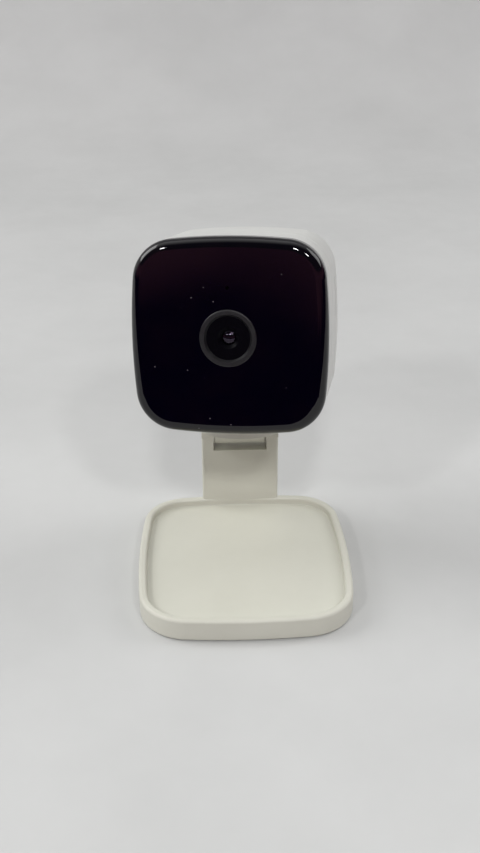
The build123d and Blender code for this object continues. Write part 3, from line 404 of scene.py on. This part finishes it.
def circuit_board():
    """Green solder mask with raised copper runs and small pads."""
    f = Finish("circuit_board", Coat_Weight=0.25, Coat_Roughness=0.2)
    dark_green, light_green, gold = (0.010, 0.095, 0.040), (0.022, 0.180, 0.075), (0.62, 0.50, 0.28)
    runs = f.scaled(f.cells(1.6 * MM, randomness=0.35), 0.40, 0.48)
    pads = f.scaled(f.cells(2.3 * MM), 0.10, 0.13, 1.0, 0.0)
    f.colour(f.mixed(pads, f.mixed(runs, dark_green, light_green), gold))
    f.roughness_between(f.noise(1.5 * MM), WIDE, 0.28, 0.42)
    f.bump(runs, 0.03 * MM, strength=0.7)
    return f.material


def brushed_aluminium():
    """Bare aluminium with fine upright lines."""
    f = Finish("bare_aluminium", Metallic=1.0)
    lines = f.noise(0.2 * MM, detail=2.0, place=f.stretched(1.0, 1.0, 0.05))
    darker, lighter = (0.66, 0.66, 0.68), (0.80, 0.80, 0.82)
    f.colour_between(lines, WIDE, darker, lighter)
    f.roughness_between(lines, WIDE, 0.28, 0.44)
    f.bump(lines, 0.015 * MM, strength=0.4)
    return f.material


def ribbon_film():
    """White flat cable with its conductors showing faintly through the film."""
    f = Finish("ribbon_film", Coat_Weight=0.3, Coat_Roughness=0.15)
    film, conductor = (0.83, 0.83, 0.82), (0.66, 0.63, 0.58)
    conductor_span = 0.55, 0.75
    wave = f.nodes.new("ShaderNodeTexWave")
    wave.inputs["Scale"].default_value = 1.0 / (3.2 * MM)
    f.links.new(f.place, wave.inputs["Vector"])
    f.colour_between(wave.outputs["Fac"], conductor_span, film, conductor)
    f.roughness_between(f.noise(2 * MM), WIDE, 0.3, 0.45)
    f.bump(wave.outputs["Fac"], 0.03 * MM, strength=0.4)
    return f.material


def floor_sheet():
    """Pale tabletop with faint scuffs."""
    f = Finish("floor_sheet", Specular_IOR_Level=0.25)
    darker, lighter, scuffed = (0.556, 0.562, 0.553), (0.596, 0.602, 0.593), (0.32, 0.32, 0.305)
    cloud = f.noise(90 * MM, detail=5.0, roughness=0.6)
    pale = f.mixed(f.scaled(cloud, *NARROW), darker, lighter)
    rub = f.scaled(f.noise(7 * MM, detail=8.0, roughness=0.75), 0.66, 0.80, 0.0, 0.35)
    area = f.scaled(f.noise(60 * MM, detail=2.0), 0.52, 0.64)
    f.colour(f.mixed(f.combined("MULTIPLY", rub, area), pale, scuffed))
    f.roughness_between(f.noise(12 * MM, detail=4.0), WIDE, 0.55, 0.72)
    f.bump(f.noise(1.5 * MM, detail=4.0), 0.05 * MM, strength=0.25)
    return f.material


# ---- which node wears what ----
SPARK_GRAIN = 0.30 * MM
SPARK_DEPTH = 0.012 * MM


def white_moulding(name, light, dark):
    return moulded_plastic(name, light, dark, rough=0.40, grain=SPARK_GRAIN, grain_depth=SPARK_DEPTH)


def make_finishes():
    """The finish of each material slot."""
    white = white_moulding("white_plastic", (0.636, 0.634, 0.554), (0.613, 0.611, 0.532))
    grey = moulded_plastic("grey_plastic", (0.40, 0.40, 0.385), (0.37, 0.37, 0.355), rough=0.48,
                           grain=SPARK_GRAIN, grain_depth=0.015 * MM)
    black = moulded_plastic("black_plastic", (0.020, 0.020, 0.022), (0.012, 0.012, 0.013), rough=0.42,
                            grain=0.25 * MM, grain_depth=SPARK_DEPTH)
    nylon = moulded_plastic("nylon", (0.78, 0.77, 0.72), (0.72, 0.71, 0.66), rough=0.38,
                            grain=0.5 * MM, grain_depth=0.01 * MM)
    return {
        "white_plastic": white,
        "grey_plastic": grey,
        "black_gloss": gloss_black(),
        "black_rubber": rubber(),
        "steel": satin_metal("steel", (0.56, 0.56, 0.57), rough=0.32),
        "plated_steel": satin_metal("plated_steel", (0.68, 0.68, 0.67), rough=0.24),
        "nylon": nylon,
        "foam": foam(),
        "dark_metal": dark_bezel(),
        "black_plastic": black,
        "lens_glass": lens_glass(),
        "filter_glass": filter_glass(),
        "circuit_board": circuit_board(),
        "clear_resin": clear_resin(),
        "bare_aluminium": brushed_aluminium(),
        "ribbon_film": ribbon_film(),
    }


def special_finishes():
    """Nodes that differ from their slot: matt black on the lens barrel, matt black on the microphone parts
    as painted shade in the mic hole, and a whiter head shell.
    """
    matt_black = lens_black()
    shell_white = white_moulding("shell_white", (0.622, 0.630, 0.604), (0.602, 0.609, 0.584))
    return {
        "lens_barrel": matt_black,
        # microphone parts in matt black: painted shade, so that the hole in the cap reads dark
        "microphone_boot": matt_black,
        "microphone": matt_black,
        "front_housing": shell_white,
        "rear_cover": shell_white,
    }


def dress_nodes(finishes, special):
    """Each node wears its slot's finish, unless it has one of its own."""
    for part in frame["record"]["subparts"]:
        node = part["node"]
        mesh = frame["nodes"][node].data
        mesh.materials.clear()
        mesh.materials.append(special.get(node) or finishes[part["material_slot"]])


make_camera()
make_world()
make_lights()
make_floor(floor_sheet())
dress_nodes(make_finishes(), special_finishes())

bpy.context.scene.view_settings.view_transform = "Standard"
